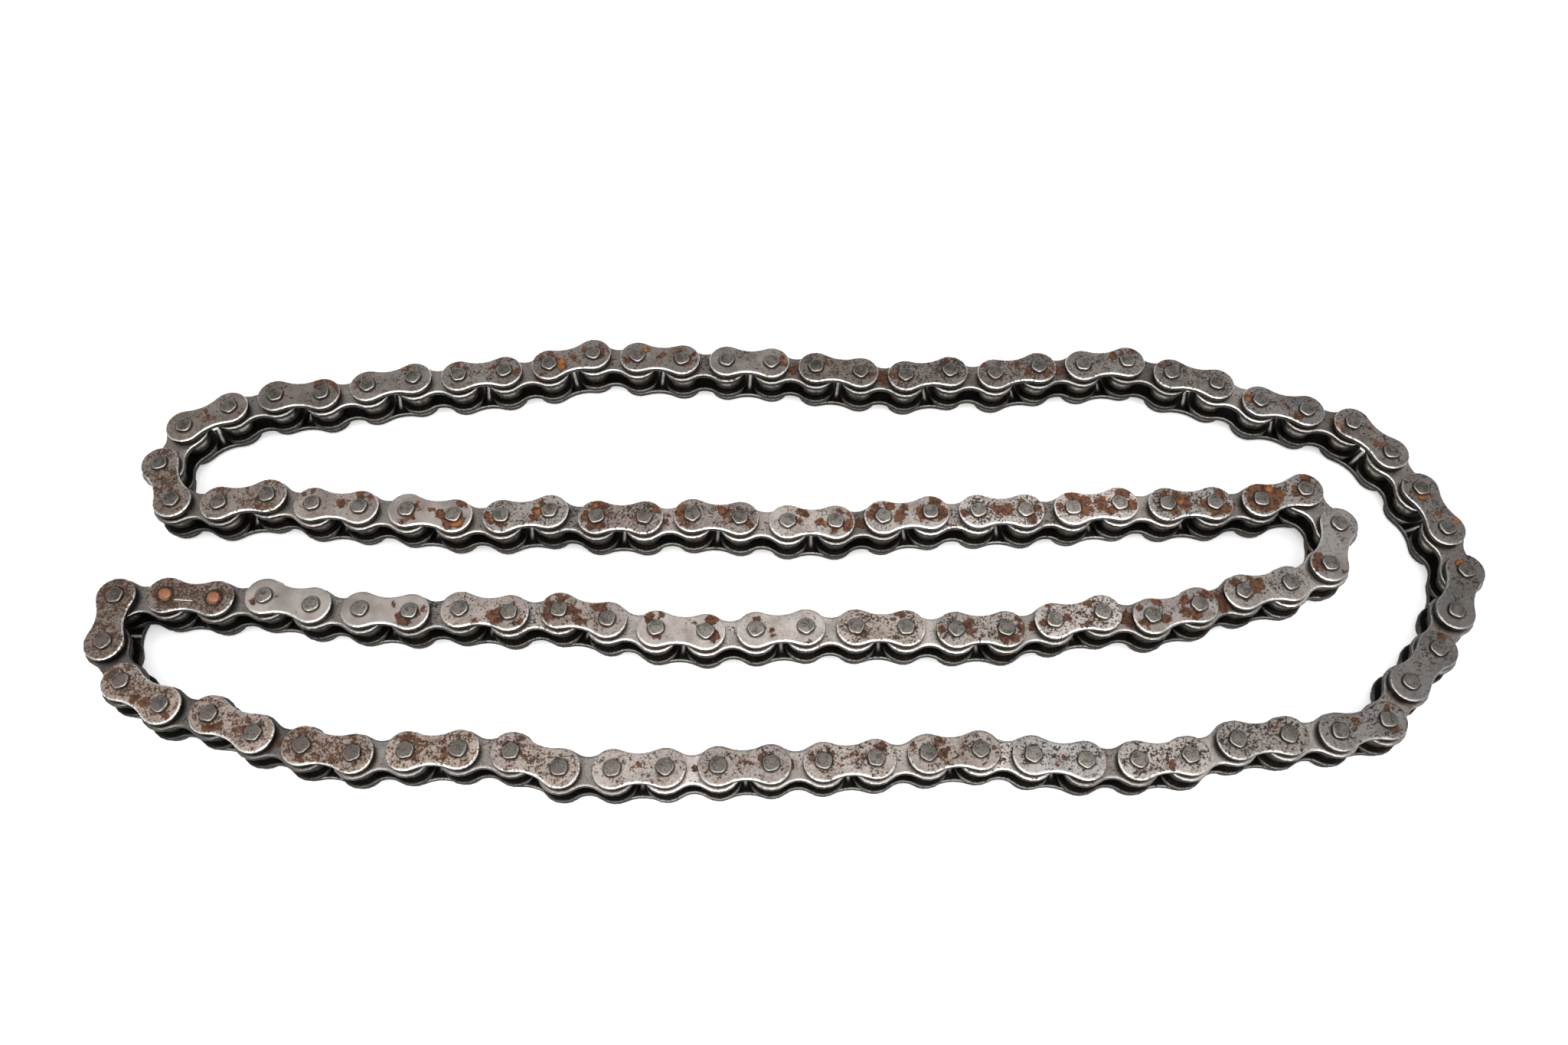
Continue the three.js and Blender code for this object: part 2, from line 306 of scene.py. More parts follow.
# How each outer link has aged, by its number in the loop: how light the steel, partly its own tone
# and partly painted light that lightens or darkens the whole link; how much stray rust, how much
# fine pitting, how brown its stain, how orange its rust; then, in millimetres to the right and to
# the far side of its middle, the middles and radii of its rust patches, and those of the bright
# orange ones. A stain below 0 is a cold tint, and a patch whose radius is below 0 is mottled.
OUTER_WEAR = {
    1: (0.97, 0.25, 0.45, 0.65, 0.1, [(10.8, 1.6, 0), (0, 0, -1.4)], []),
    2: (0.76, 0.15, 0.40, 0.40, 0.15,
        [(6.3, 4.7, 1.3), (9, 5.9, 0.8), (12, 4.4, 1.4), (13.6, 2.2, 1)], []),
    3: (0.93, 0.15, 0.50, 0.30, 0.1, [(-11.2, -0.9, 1), (-9.3, 0.6, 0.5), (4.8, 4.6, 0.9)], []),
    4: (0.96, 0.20, 0.65, 0.25, 0.1,
        [(-8.4, 3.3, 0.8), (-6.2, 3, 0.5), (12.6, 0.8, 0.7), (4.6, 2.9, 0), (10.4, 2.6, -1.2)], []),
    5: (0.89, 0.35, 0.55, 0.22, 0.3,
        [(-10.3, 0.9, 0.9), (-8.2, 2.2, 0.6), (-9.3, -6.4, 0.7), (0.9, 0.8, 0.5), (10.6, 1.2, 0.8),
         (4.6, 3.8, 0.3), (11.3, 3.5, -1.5), (-9.8, 0.5, -2)], [(-3.1, -3.3, 1), (-3.4, -1.2, 1)]),
    6: (0.93, 0.25, 0.35, 0.30, 0.3,
        [(-11.8, -1, 0.8), (-10.3, 0.4, 0.4), (0.5, 1.2, 0.5), (5.7, 1.4, 0.5), (8.6, -2.2, 0.6),
         (11.4, 1.2, 0.7), (-7.5, 1, -2.6), (9.5, 0, -2.6)], [(-5.2, 3.3, 0.7)]),
    7: (1.02, 0.10, 0.35, 0.20, 0.2, [(12.2, 1.7, 1.2), (12.4, -0.7, 1)], [(12.6, 0.4, 0.7)]),
    8: (0.83, 0.30, 0.80, 0.45, 0.15,
        [(-4.2, 2.8, 0.4), (-2.8, 3, -2.2), (-1, -2.4, -1.5), (11.6, -0.5, -2.4), (11.2, -2.2, 0.3)],
        []),
    9: (0.85, 0.25, 1.00, 0.25, 0.15,
        [(-11.2, -1.6, 0.7), (-10.4, -4.4, 0.7), (-10.4, -2.8, -2.8), (5, 4.6, -1.6)], []),
    10: (0.93, 0.30, 0.85, 0.35, 0.15,
         [(-12, 1.8, 0.5), (11.4, 0.4, 0.5), (4.8, -1.4, -1.8), (11.2, -1.2, -2.2), (-12, -1.2, -1.6),
          (-1, 1.6, -2)], []),
    11: (1.02, 0.10, 0.70, 0.15, 0.1, [(3.2, 3, 1.1), (5.8, 4, 0.6), (10.4, 5.2, 0.5)], []),
    12: (0.88, 0.15, 0.80, 0.25, 0.2,
         [(-10.2, 6, -1.8), (-4.4, 3.6, -1.3), (4.6, -1.4, -1.2), (-9.6, 5.6, 0.3)], []),
    13: (0.84, 0.15, 0.70, -0.10, 0.2, [(-11.2, 3.2, 1.1), (4.4, -4.4, 0.8)], [(-12, 2.6, 0.6)]),
    14: (0.77, 0.20, 0.65, -0.05, 0.3,
         [(-9.6, 6.2, -2.3), (-7.2, 2.8, -2.2), (-8.6, 2.6, 0.3), (-0.4, 3.7, 0.3), (2.6, -3.2, -1.6),
          (9.4, -9.4, -1.2)], [(-10.4, 5, 0.6)]),
    15: (0.64, 0.15, 0.55, -0.05, 0.3,
         [(0.2, -2.6, -1.6), (0.9, -2.2, 0.2), (-2.6, 5, -2.2)], [(-2.6, 5.3, 1.8), (6.6, -4.3, 1)]),
    16: (0.51, 0.10, 0.45, -0.20, 0.3, [(3.7, 5.1, 0.9)], [(2.2, 9.8, 1.3), (3.4, 5.6, 0.7)]),
    17: (0.50, 0.08, 0.45, -0.30, 0.1, [(7, 10.4, 0.8)], []),
    18: (0.55, 0.15, 0.65, -0.20, 0.1, [(9.4, -1.2, 1), (8.5, 6.2, 0.6), (-2, 1.6, 0.8)], []),
    19: (0.69, 0.10, 1.00, 0.20, 0.1, [], []),
    20: (0.94, 0.12, 0.90, 0.12, 0.1, [(1.9, -2, 0.7)], []),
    21: (0.91, 0.00, 0.72, -0.20, 0.0, [(-0.4, -0.6, -1)], []),
    22: (0.84, 0.20, 0.65, 0.50, 0.2,
         [(-4.2, 3.4, 1), (-2.6, 0.2, 0.5), (-1.8, -1.2, -1.8), (4.6, 0.8, -1.8), (-12.4, 1.4, 0.5)],
         []),
    23: (0.97, 0.15, 0.75, 0.50, 0.1,
         [(9, 3.8, 0.9), (-7, 2.4, -2.4), (-11.4, 0.6, 0.4), (0, 0.4, -1.8), (6, 0.4, -1.8)], []),
    24: (0.78, 0.12, 0.60, 0.40, 0.1, [(-0.5, 1.5, -2.4), (5.8, 1, -1.4)], []),
    25: (0.94, 0.08, 0.60, 0.40, 0.1, [(0.4, 0, -1.2)], []),
    26: (0.99, 0.20, 0.85, 0.85, 0.2, [(-9, 4.4, 1.2), (-6.2, 2, 0.8), (-8, 2.6, -2.2)], []),
    27: (1.14, 0.15, 1.05, 1.15, 0.3, [(-8, 3.4, 0.8), (-4, 0, -2.6), (3, 0, -2.2)], []),
    28: (0.96, 0.18, 1.10, 1.25, 0.2,
         [(-5, -0.9, -2.6), (0.6, -2, -2.6), (-9.2, 4.4, -1.6), (-1, 1, 0)], []),
    29: (1.10, 0.15, 0.90, 1.00, 0.2,
         [(-7, -1.2, 0.9), (-4.4, -1.2, 1), (-10.2, 2.2, 0.5), (-7, -1.2, -2.2), (4, -1, -2)], []),
    30: (1.24, 0.20, 1.05, 1.20, 0.2,
         [(-0.6, -1.8, 1.3), (2.2, -2.8, 0.9), (9.8, -7.4, 0.7), (-9, 5, -2.2)], []),
    31: (0.82, 0.15, 1.20, 1.15, 0.1, [], []),
    32: (0.86, 0.15, 1.25, 1.12, 0.1, [], []),
    33: (1.16, 0.00, -0.40, 0.08, 0.0, [(-11, -0.8, 0.1)], []),
    34: (1.10, 0.00, -0.50, 0.15, 0.1,
         [(5.2, -2.2, 1.1), (7.2, -3.7, 0.9), (10.6, -1.2, 0.7), (12.2, 0.9, 1), (3, 2, 0.1)], []),
    35: (1.17, 0.10, 0.55, 0.50, 0.5,
         [(4.6, -0.6, 1.2), (3.4, -2.7, 1.1), (-2.7, -4.4, 0.7), (11.5, -4, 0.6), (4, -1.5, -2.2)], []),
    36: (1.10, 0.25, 0.70, 0.65, 0.2,
         [(-3.6, 2.2, 1.4), (-7.4, 5.6, 1), (-10.8, 3.2, 1), (-11.8, 0.6, 0.8), (5.3, 2.6, 1.7),
          (-0.6, -2.4, 1.1), (-7.5, 2, -4.6), (7, -2, -2)], []),
    37: (1.30, 0.03, -0.05, 0.10, 0.3,
         [(-10, 4.4, 0.9), (-6.4, 5.3, 0.8), (-8.4, -1.8, 0.9), (3.9, 2.6, 0.9), (9.6, 3.6, 1.3),
          (10.4, -1.8, 1.3)], []),
    38: (1.34, 0.02, 0.20, 0.08, 0.5,
         [(-7.4, 3.1, 0.2), (-2.6, -0.6, 0), (-2.4, -2.3, 0), (9, -3.4, -0.3)], []),
    39: (1.33, 0.20, 0.85, 0.65, 0.1, [(5.9, 4.6, 0.6), (-5.8, -2.6, 0.7)], []),
    40: (1.06, 0.15, 0.90, 0.40, 0.2,
         [(6.8, -3.4, 1.4), (10.4, -3.2, 1.3), (12.8, -0.2, 1.4), (12.6, 3.4, 0.7), (-4, 1.8, 0.8),
          (-12.6, -0.8, 0.8), (-3.5, 0.5, -1.2)], []),
    41: (1.40, 0.30, 0.88, 0.10, 0.2,
         [(-9.7, 3.6, 0.8), (-10.8, -3.2, 1.2), (-3.4, -0.4, 0.5), (4, 4.4, 0.8), (6, -1.4, 0.6),
          (3.4, -2.6, 0.5)], []),
    42: (0.98, 0.20, 0.35, 0.10, 0.4,
         [(-6, 3.2, 1.2), (-11.5, 1.2, 0.8), (-10.2, -4.6, 1.5), (-3.7, -3.2, 1.2), (3.1, 3, 1.4),
          (3.2, -0.3, 1.7), (6.4, -1.4, 1.2), (10.4, 5.8, 1.6)], []),
    43: (0.95, 0.05, 0.60, -0.05, 0.2,
         [(-9.6, 1.4, 1.4), (-5, 3, 0.8), (-2.8, 1.6, 1.4), (-1.5, 0.4, 1.1), (-3.4, -1, 0.9),
          (-7.7, -3.7, 0.7)], []),
    44: (0.92, 0.02, 0.30, -0.15, 0.1, [(-6.4, -7.5, 1.9), (-6.2, -5.6, 1.2), (1.9, -10.4, 0.5)], []),
    45: (1.02, 0.25, 0.80, 0.10, 0.5,
         [(-7.4, -1, 5.2), (-2.2, 0, 2.4), (4.4, 1.4, 1.2), (8.9, 6.4, 1.4)], [(-4.6, 2, 1)]),
    46: (1.22, 0.25, 1.00, 0.10, 0.45,
         [(-3.4, 1.4, 1.8), (-1.6, -0.9, 1.4), (-5.6, -3.6, 1.2), (4.4, -0.8, 1.2), (8.1, -2.9, 1.7),
          (11.6, -2.2, 1.3), (10.8, 3.8, 1.5), (-8.7, 3.6, 0.7)], [(-3.4, 0.4, 0.8)]),
    47: (2.15, 0.15, 0.70, 0.25, 0.35,
         [(-7.7, 3.6, 2.1), (-4.4, 1.6, 1.6), (-3.6, -2.4, 1.8), (-12, -0.6, 1), (2.2, 0.5, 2.1),
          (4.6, -1.8, 1.5), (9.2, 5, 1.9), (12.4, 0, 1.9)], []),
    48: (1.78, 0.20, 1.00, 0.18, 0.35,
         [(-13.1, -0.9, 1.1), (-1.7, 0.5, 1.3), (1.5, 0, 1.6), (11.9, 0.5, 1.3), (10.1, -2.7, 1.4),
          (6.9, 3.9, 0.7)], []),
    49: (1.52, 0.10, 0.45, 0.05, 0.3,
         [(-10.4, 1.5, 1.4), (-12.6, -0.6, 1.1), (-5.4, 2.8, 1.2), (-2.2, -0.6, 1.9), (-0.6, 2.8, 0.8),
          (5.4, 0.4, 2.2), (9.6, 5, 1.7), (11.6, 0.6, 2)], []),
    50: (1.62, 0.10, 0.50, 0.25, 0.5,
         [(-2.8, 3.3, 1.2), (-4.2, 0.2, 0.8), (3, -0.3, 1.2), (4.8, -1, 0.8), (9.5, 4.2, 1),
          (12.6, 3.3, 0.7), (11.8, -1.8, 1.6), (7.4, -3.5, 1)], [(4.6, -0.6, 0.5)]),
    51: (1.12, 0.20, 0.80, 0.50, 0.6,
         [(-11.8, 1.9, 1.5), (-10.5, -0.4, 1.5), (1.8, 1.9, 1.9), (4.1, 2.4, 1.1), (10.9, -3.1, 0.7),
          (-10.5, -1, -2.8), (3.2, 1.5, -3)], [(-11, 0.4, 0.4), (2.2, 1.6, 0.3)]),
    52: (1.08, 0.20, 1.00, 0.55, 0.5,
         [(-8.5, 3.9, 1.3), (-5.4, 4.2, 1), (-11.7, -0.8, 1.2), (-9.5, -3.1, 1.3), (-6.3, -3.4, 1),
          (11.5, 3.9, 1.3), (12.8, 2.4, 0.8), (-8, 0, -3.6)], [(5.4, -0.6, 0.7), (-8.5, 4.1, 0.6)]),
    53: (1.16, 0.12, 0.80, 0.15, 0.5,
         [(-12.5, -1.1, 1.2), (-10.6, -2.5, 1.3), (-7.5, -3.8, 1.2), (4.4, 1.6, 1.5), (3.5, -1.1, 1.3),
          (5.7, 3.9, 0.8), (5, 0.5, -2.4)], [(4.2, 0.6, 0.8), (-10.6, -2.6, 0.7)]),
    54: (1.36, 0.03, -0.20, 0.25, 0.5,
         [(-5.2, 2.2, 0.9), (-6.6, -1.9, 1), (-8.3, -3.2, 0.4), (0.2, 0.8, 0.3), (3.8, -1.3, 1.3),
          (6.6, -3.6, 1.8), (10.4, -3, 1.7), (10.6, 3.6, 1.1)], [(9.2, -3.6, 1.6)]),
    55: (1.26, 0.08, 0.35, 0.50, 0.3,
         [(-11.4, 4.1, 0.8), (-8.8, 5.7, 0.5), (1.5, 1, 1.1), (7.5, 4.4, 0.8), (10.9, 3.5, 1.1),
          (9.6, 4, -1.8)], []),
    56: (1.11, 0.15, 0.85, 0.78, 0.2, [(-7.4, 0.4, -2.8), (0, 1, -2), (7, -1, -2)], []),
    57: (0.99, 0.15, 1.00, 0.85, 0.1, [(0, 0, -3)], []),
}

PATCHES = [f"patch_{number}" for number in range(8)]
EMBERS = ["ember_0", "ember_1"]
MILLIMETRES = 1000
# A patch that a link doesn't have is noted a metre away.
NO_PATCH = (0, MILLIMETRES, 0)
# All of a mottled patch counts as lying this far outside, so only islands of rust rise in it.
MOTTLED_DEPTH = -0.00095


def waist_radius(end_radius, waist):
    """The radius of the hollow that runs smoothly from one round end of a plate to the other."""
    return (HALF_PITCH ** 2 + waist ** 2 - end_radius ** 2) / (2 * (end_radius - waist))


def plate(end_radius, waist):
    """A link plate on the table, its pins' middles at half a pitch to each side of the origin."""
    hollow = waist_radius(end_radius, waist)
    hollow_middle = waist + hollow
    end_sweep = math.atan2(hollow_middle, -HALF_PITCH)
    hollow_sweep = math.pi - 2 * math.atan2(hollow_middle, HALF_PITCH)
    shape = bmesh.new()
    start_along = HALF_PITCH + end_radius * math.cos(end_sweep)
    corner = shape.verts.new((start_along, -end_radius * math.sin(end_sweep), 0))
    for side in (1, -1):
        for middle, sweep, steps in (
            (Vector((side * HALF_PITCH, 0, 0)), 2 * end_sweep, END_STEPS),
            (Vector((0, side * hollow_middle, 0)), -hollow_sweep, WAIST_STEPS),
        ):
            turned = bmesh.ops.spin(shape, geom=[corner], cent=middle, axis=(0, 0, 1),
                                    angle=sweep, steps=steps)
            last = turned["geom_last"]
            corner = next(item for item in last if isinstance(item, bmesh.types.BMVert))
    bmesh.ops.remove_doubles(shape, verts=shape.verts, dist=TOUCHING)
    face = bmesh.ops.contextual_create(shape, geom=shape.edges)["faces"][0]
    raised = bmesh.ops.extrude_face_region(shape, geom=[face])["geom"]
    corners = [item for item in raised if isinstance(item, bmesh.types.BMVert)]
    bmesh.ops.translate(shape, verts=corners, vec=(0, 0, PLATE_THICKNESS))
    bmesh.ops.recalc_face_normals(shape, faces=shape.faces)
    rims = [edge for edge in shape.edges if abs(edge.verts[0].co.z - edge.verts[1].co.z) < TOUCHING]
    bmesh.ops.bevel(shape, geom=rims, offset=PLATE_EDGE_ROUND, segments=PLATE_EDGE_STEPS,
                    profile=0.5, affect="EDGES", material=-1)
    flats = [flat for flat in shape.faces if abs(flat.normal.z) > 1 - TOUCHING]
    bmesh.ops.inset_individual(shape, faces=flats, thickness=PLATE_MARGIN)
    return shape


def turned_shape(profile, steps):
    """A shape turned on the z axis from a profile of (height, radius) points."""
    shape = bmesh.new()
    corners = [shape.verts.new((radius, 0, height)) for height, radius in profile]
    edges = [shape.edges.new(ends) for ends in zip(corners, corners[1:])]
    bmesh.ops.spin(shape, geom=corners + edges, cent=(0, 0, 0), axis=(0, 0, 1),
                   angle=2 * math.pi, steps=steps, use_merge=True)
    bmesh.ops.remove_doubles(shape, verts=shape.verts, dist=TOUCHING)
    bmesh.ops.recalc_face_normals(shape, faces=shape.faces)
    return shape


def riveted_pin(rings, dents):
    """A pin from table to top, its ends spread by the dents of the staking punch."""
    top = chain_top - HEAD_HEIGHT
    upper = [(top + height, radius) for height, radius, _ in rings]
    lower = [(chain_top - height, radius) for height, radius in upper]
    shape = turned_shape(lower[::-1] + upper, PIN_STEPS)
    spread = {}
    for (height, radius), (_, _, lobe) in zip(upper, rings):
        spread[round(height, 6)] = lobe
        spread[round(chain_top - height, 6)] = lobe
    for corner in shape.verts:
        out = corner.co.xy.length
        if out > TOUCHING:
            around = math.atan2(corner.co.y, corner.co.x)
            lobe = spread[round(corner.co.z, 6)] * math.cos(dents * around)
            corner.co.xy *= (out + lobe) / out
    return shape


def store(shape):
    """Keeps a shape as a mesh, to be copied."""
    mesh = bpy.data.meshes.new("pattern")
    shape.to_mesh(mesh)
    shape.free()
    return mesh


def add_copy(shape, pattern, matrix, finish_number):
    """Adds a moved copy of a kept shape to a bigger one."""
    count = len(shape.verts)
    faces = len(shape.faces)
    shape.from_mesh(pattern)
    shape.verts.ensure_lookup_table()
    shape.faces.ensure_lookup_table()
    bmesh.ops.transform(shape, matrix=matrix, verts=shape.verts[count:])
    for face in shape.faces[faces:]:
        face.material_index = finish_number


def lay_link(shape, first, second, wear):
    """Notes on each corner where on its link it lies and how the link has aged, then lays the
    link with its ends on two pins."""
    light, stray, pitting, stain, orange, patches, embers = wear
    line = second - first
    turn = Matrix.Rotation(math.atan2(line.y, line.x), 4, "Z")
    notes = {"steel": (light, pitting, stain), "rust": (stray, orange, 0)}
    for names, places in ((PATCHES, patches), (EMBERS, embers)):
        for name, place in zip(names, places + [NO_PATCH] * len(names)):
            notes[name] = Vector(place) / MILLIMETRES
    layer_names = ("spot", "lie", *notes)
    layers = {name: shape.verts.layers.float_vector.new(name) for name in layer_names}
    for corner in shape.verts:
        corner[layers["spot"]] = corner.co
        corner[layers["lie"]] = turn @ corner.co
        for name, note in notes.items():
            corner[layers[name]] = note
    laying = Matrix.Translation((first + second) / 2) @ turn
    bmesh.ops.transform(shape, matrix=laying, verts=shape.verts)


def finished_piece(name, shape, finishes, nodes):
    """Makes a finished shape a smooth mesh object of the chain and ties it to the frame."""
    mesh = bpy.data.meshes.new(name)
    shape.to_mesh(mesh)
    shape.free()
    mesh.shade_smooth()
    for finish in finishes:
        mesh.materials.append(finish)
    piece = bpy.data.objects.new(name, mesh)
    bpy.context.scene.collection.objects.link(piece)
    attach(piece, "root")
    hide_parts(*nodes)


STEEL = (0.375, 0.340, 0.313, 1)
STEEL_DULL = (0.200, 0.177, 0.159, 1)
COLD_STEEL = (0.255, 0.268, 0.282, 1)
# Rubbed rim colour, brightened further as a painted highlight.
RUBBED_AND_GLINT_STEEL = (0.84, 0.81, 0.77, 1)
# Colour of the painted highlight bar on the outer plates' inner waists.
WAIST_GLINT_COLOUR = (0.95, 0.89, 0.79, 1)
# Grime colour, also used as painted shade on the sides, the inner flats and round the rivets.
GRIME_AND_SHADE = (0.016, 0.014, 0.012, 1)
PIT = (0.024, 0.019, 0.016, 1)
PIT_BROWN = (0.062, 0.033, 0.021, 1)
STAIN = (0.150, 0.092, 0.058, 1)
RUST_DARK = (0.038, 0.018, 0.012, 1)
RUST_BROWN = (0.088, 0.042, 0.026, 1)
RUST_ORANGE = (0.149, 0.063, 0.026, 1)
RUST_EMBER = (0.270, 0.098, 0.026, 1)
RIVET_FLAT = (0.192, 0.174, 0.155, 1)
RIVET_LOW = (0.062, 0.054, 0.046, 1)
RIVET_EDGE_HIGHLIGHT = (0.52, 0.49, 0.46, 1)
COPPER_FLAT = (0.62, 0.28, 0.145, 1)
COPPER_LOW = (0.34, 0.145, 0.075, 1)
COPPER_EDGE_SHADE = (0.10, 0.05, 0.032, 1)
OUTER_SATIN = 0.34

# How big the lumps of each kind of wear are, and how deep the relief is.
RAGGED_SIZE = 0.0026
SPECK_SIZE = 0.0007
CLUSTER_SIZE = 0.0030
GRAIN_SIZE = 0.00018
HANDLED_SIZE = 0.009
NICK_SIZE = 0.0007
CRUST_SIZE = 0.0011
SCUFF_SIZE = 0.0005
BLOTCH_SIZE = 0.0019
PLATE_RELIEF = 0.00008
RIVET_RELIEF = 0.00007

# How far outside a patch its ragged shore begins, and the way over which it fills up.
SHORE_REACH = 0.0006
SHORE_WIDTH = 0.0015
# The same for the orange haze round an ember, and how far noise shifts it.
HAZE_REACH = 0.0016
HAZE_WIDTH = 0.0022
HAZE_SHIFT = 0.006
# The depth that counts as 1 in an ember, how far round rust the pits lie closer, and how far
# nicks bite into the rubbed rim.
EMBER_SPAN = 0.005
PITTED_SHORE = 0.0018
NICK_DEPTH = 0.0006

# Where a wear, a painted shade or a painted highlight begins and where it is full: in from the
# plate's edge, out from the pin's middle, to the side of the link's middle, towards the far side,
# and up from the table.
PITTED_INLAND = (0.0005, 0.0022)
RUBBED_RIM = (0.0001, 0.0007)
PLATE_SEAM_AND_SHADE = (0.0028, 0.0034)
RIVET_FOOT_SHADE = (0.0025, 0.0028)
WAIST_GLINT_ALONG = (0.0002, 0.0008)
WAIST_GLINT_FAR = (-0.0030, -0.0005)
UPPER_HALF = (0.007, 0.011)
# The same out from the chain's middle level, for flats that face out.
OPEN_SIDE = (0.0022, 0.0044)
# The engraved line is this far off the plate's middle, and fades out at these half sizes.
LINE_OFFSET = 0.0015
LINE_BESIDE = (0.00008, 0.00020)
LINE_BEYOND = (0.0028, 0.003)


def link_axes(sheet):
    """Where a point lies on its link: along it, across it, and its distance from the pin."""
    along, across, _ = sheet.attribute("spot").parts()
    from_pin = ((abs(along) - HALF_PITCH) ** 2 + across ** 2) ** 0.5
    return along, across, from_pin


def inside(sheet, names):
    """How far inside the nearest of its link's noted patches a point lies, and how far to the
    far side of the link's middle, in metres. A patch noted with a radius below 0 is mottled, so
    that no point lies deep in it."""
    right, far, _ = sheet.attribute("lie").parts()
    depth = -1.0
    for name in names:
        patch_right, patch_far, radius = sheet.attribute(name).parts()
        reach = ((right - patch_right) ** 2 + (far - patch_far) ** 2) ** 0.5
        deepest = sheet.math("GREATER_THAN", radius, -TOUCHING) + MOTTLED_DEPTH
        depth = sheet.math("MAXIMUM", depth, sheet.math("MINIMUM", abs(radius) - reach, deepest))
    return depth, far


def edge_distance(sheet, along, across, from_pin, end_radius, waist):
    """How far in from the plate's edge a point lies."""
    hollow = waist_radius(end_radius, waist)
    hollow_middle = waist + hollow
    from_hollow = (along ** 2 + (abs(across) - hollow_middle) ** 2) ** 0.5
    at_waist = sheet.math("LESS_THAN", abs(along) / HALF_PITCH + abs(across) / hollow_middle, 1.0)
    return (end_radius - from_pin) * (1 - at_waist) + (from_hollow - hollow) * at_waist


def outward(sheet):
    """1 on flats that face out of the chain, 0 on sheared sides and on flats that face in; how
    level the surface is; and nearly 0 on the lower plates, 1 on the upper ones."""
    _, _, facing = sheet.node("ShaderNodeNewGeometry", {}, {}, output="Normal").parts()
    _, _, level = sheet.place().parts()
    open_side = (level - chain_top / 2) * facing
    upper = 0.3 + level.rise(*UPPER_HALF) * 0.7
    return open_side.rise(*OPEN_SIDE), abs(facing), upper


